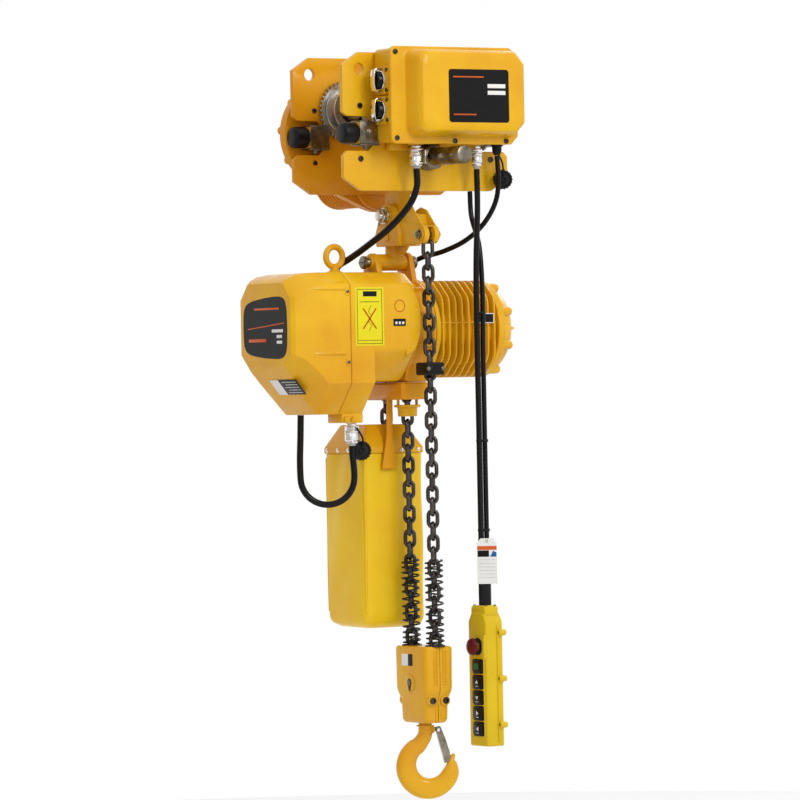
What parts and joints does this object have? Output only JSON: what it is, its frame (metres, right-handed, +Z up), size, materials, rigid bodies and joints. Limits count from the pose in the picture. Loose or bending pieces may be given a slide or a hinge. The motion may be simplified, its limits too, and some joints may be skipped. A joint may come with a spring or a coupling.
{
  "type": "electric chain hoist",
  "caption": "Electric chain hoist on a motor-driven beam trolley, with a chain container, a bottom hook block and a hanging push-button control.",
  "frame": {"origin": "on the beam flange's running surface, midway between the four trolley wheels", "axes": "+X along the beam, +Z up, -Y towards the side with the electric box"},
  "size_m": [0.54, 0.5364, 1.4684],
  "materials": {
    "orange_paint": "semi-gloss enamel on castings and steel plate",
    "yellow_paint": "glossy powder coat",
    "container_plastic": "soft coated sheet",
    "black_rubber": "matt moulded rubber",
    "cable_sheath": "satin rubber sheath",
    "button_black": "satin moulded plastic",
    "zinc_plate": "bright zinc plate",
    "wheel_steel": "machined steel",
    "chain_steel": "oiled dark alloy steel",
    "pendant_yellow": "satin moulded plastic",
    "stop_red": "moulded plastic"
  },
  "bodies": {
    "trolley": {"near_side_plate": "orange_paint", "far_side_plate": "orange_paint", "suspension_shaft": "zinc_plate", "bumper_near_left": "black_rubber", "bumper_near_right": "black_rubber", "bumper_far_left": "black_rubber", "bumper_far_right": "black_rubber", "drive_gear_case": "orange_paint", "drive_motor": "orange_paint", "box_base": "yellow_paint", "box_lid": "yellow_paint", "power_gland": "zinc_plate", "pendant_gland": "zinc_plate", "pendant_case": "pendant_yellow", "pendant_cable": "cable_sheath", "strain_cable": "cable_sheath", "power_cable": "cable_sheath", "travel_cable": "cable_sheath"},
    "wheel_near_left": {"wheel_near_left": "wheel_steel"},
    "wheel_near_right": {"wheel_near_right": "wheel_steel"},
    "wheel_far_left": {"wheel_far_left": "wheel_steel"},
    "wheel_far_right": {"wheel_far_right": "wheel_steel"},
    "drive_pinion": {"drive_pinion": "wheel_steel"},
    "hanger": {"hanger": "orange_paint", "hanger_pin": "zinc_plate"},
    "hoist": {"suspension_bracket": "orange_paint", "bracket_pin": "zinc_plate", "gear_case": "yellow_paint", "control_cover": "yellow_paint", "control_contactor": "button_black", "sheave_housing": "orange_paint", "motor_housing": "orange_paint", "motor_end_cover": "orange_paint", "eye_bolt": "yellow_paint", "chain_guide": "orange_paint", "chain_clip": "black_rubber", "loop_gland": "zinc_plate", "loop_cable": "cable_sheath", "chain_container": "container_plastic", "container_collar": "yellow_paint", "stored_chain": "chain_steel", "live_chain": "chain_steel", "dead_chain": "chain_steel"},
    "load_sheave": {"load_sheave": "wheel_steel"},
    "lay_shaft": {"lay_shaft": "wheel_steel"},
    "motor_rotor": {"motor_rotor": "wheel_steel"},
    "limit_striker": {"limit_striker": "orange_paint"},
    "hook_block": {"block_shell_left": "orange_paint", "block_shell_right": "orange_paint", "buffer_spring_dead": "chain_steel", "buffer_spring_live": "chain_steel"},
    "block_sheave": {"block_sheave": "wheel_steel"},
    "hook": {"hook": "orange_paint"},
    "latch": {"latch": "zinc_plate"},
    "stop_button": {"stop_button": "stop_red"},
    "button_start": {"button_start": "button_black"},
    "button_up": {"button_up": "button_black"},
    "button_down": {"button_down": "button_black"},
    "button_left": {"button_left": "button_black"},
    "button_right": {"button_right": "button_black"}
  },
  "joints": [
    {"name": "wheel_near_left_spin", "type": "hinge", "parent": "trolley", "child": "wheel_near_left", "pos_m": [-0.075, -0.065, 0.045], "axis": [0, 1, 0], "continuous": true},
    {"name": "wheel_near_right_spin", "type": "hinge", "parent": "trolley", "child": "wheel_near_right", "pos_m": [0.075, -0.065, 0.045], "axis": [0, 1, 0], "continuous": true},
    {"name": "wheel_far_left_spin", "type": "hinge", "parent": "trolley", "child": "wheel_far_left", "pos_m": [-0.075, 0.065, 0.045], "axis": [0, 1, 0], "continuous": true},
    {"name": "wheel_far_right_spin", "type": "hinge", "parent": "trolley", "child": "wheel_far_right", "pos_m": [0.075, 0.065, 0.045], "axis": [0, 1, 0], "continuous": true},
    {"name": "drive_pinion_spin", "type": "hinge", "parent": "trolley", "child": "drive_pinion", "pos_m": [0, 0.09, 0.045], "axis": [0, 1, 0], "continuous": true},
    {"name": "hanger_swing", "type": "hinge", "parent": "trolley", "child": "hanger", "pos_m": [0, 0.01, -0.055], "axis": [0, 1, 0], "range_deg": [0, 15], "deforming": ["power_cable", "travel_cable"]},
    {"name": "hoist_tilt", "type": "hinge", "parent": "hanger", "child": "hoist", "pos_m": [0, 0.01, -0.165], "axis": [1, 0, 0], "range_deg": [-8, 8], "deforming": ["power_cable", "travel_cable"]},
    {"name": "hook_lift", "type": "slide", "parent": "hoist", "child": "hook_block", "axis": [0, 0, 1], "range_m": [0, 0.27], "deforming": ["live_chain", "dead_chain"]},
    {"name": "load_sheave_spin", "type": "hinge", "parent": "hoist", "child": "load_sheave", "pos_m": [0, 0.0275, -0.389], "axis": [1, 0, 0], "range_deg": [-784, 0]},
    {"name": "lay_shaft_spin", "type": "hinge", "parent": "hoist", "child": "lay_shaft", "pos_m": [-0.08, -0.0475, -0.389], "axis": [1, 0, 0], "range_deg": [0, 3134]},
    {"name": "motor_rotor_spin", "type": "hinge", "parent": "hoist", "child": "motor_rotor", "pos_m": [0.1, 0.0275, -0.389], "axis": [1, 0, 0], "continuous": true},
    {"name": "limit_striker_push", "type": "slide", "parent": "hoist", "child": "limit_striker", "axis": [0, 0, 1], "range_m": [0, 0.008], "stiffness_N_per_m": 400, "springref_m": -0.02},
    {"name": "block_sheave_spin", "type": "hinge", "parent": "hook_block", "child": "block_sheave", "pos_m": [0, -0.055, -1.082], "axis": [1, 0, 0], "range_deg": [0, 360]},
    {"name": "hook_swivel", "type": "hinge", "parent": "hook_block", "child": "hook", "pos_m": [0, -0.055, -1.2], "axis": [0, 0, 1], "continuous": true},
    {"name": "latch_swing", "type": "hinge", "parent": "hook", "child": "latch", "pos_m": [0.02284, -0.06517, -1.1755], "axis": [0.4067, 0.9135, 0], "range_deg": [0, 35], "stiffness_Nm_per_rad": 0.05, "springref_deg": -34.38},
    {"name": "stop_button_press", "type": "slide", "parent": "trolley", "child": "stop_button", "axis": [1, 0, 0], "range_m": [0, 0.004], "stiffness_N_per_m": 300, "springref_m": -0.004},
    {"name": "button_start_press", "type": "slide", "parent": "trolley", "child": "button_start", "axis": [1, 0, 0], "range_m": [0, 0.003], "stiffness_N_per_m": 250, "springref_m": -0.004},
    {"name": "button_up_press", "type": "slide", "parent": "trolley", "child": "button_up", "axis": [1, 0, 0], "range_m": [0, 0.003], "stiffness_N_per_m": 250, "springref_m": -0.004},
    {"name": "button_down_press", "type": "slide", "parent": "trolley", "child": "button_down", "axis": [1, 0, 0], "range_m": [0, 0.003], "stiffness_N_per_m": 250, "springref_m": -0.004},
    {"name": "button_left_press", "type": "slide", "parent": "trolley", "child": "button_left", "axis": [1, 0, 0], "range_m": [0, 0.003], "stiffness_N_per_m": 250, "springref_m": -0.004},
    {"name": "button_right_press", "type": "slide", "parent": "trolley", "child": "button_right", "axis": [1, 0, 0], "range_m": [0, 0.003], "stiffness_N_per_m": 250, "springref_m": -0.004}
  ],
  "couplings": [
    {"joint": "load_sheave_spin", "follows": "hook_lift", "rad_per_m": -50.633},
    {"joint": "lay_shaft_spin", "follows": "hook_lift", "rad_per_m": 202.53},
    {"joint": "block_sheave_spin", "follows": "hook_lift", "rad_per_m": 23.256},
    {"joint": "wheel_far_right_spin", "follows": "wheel_far_left_spin", "ratio": 1},
    {"joint": "drive_pinion_spin", "follows": "wheel_far_left_spin", "ratio": -3.1667}
  ]
}
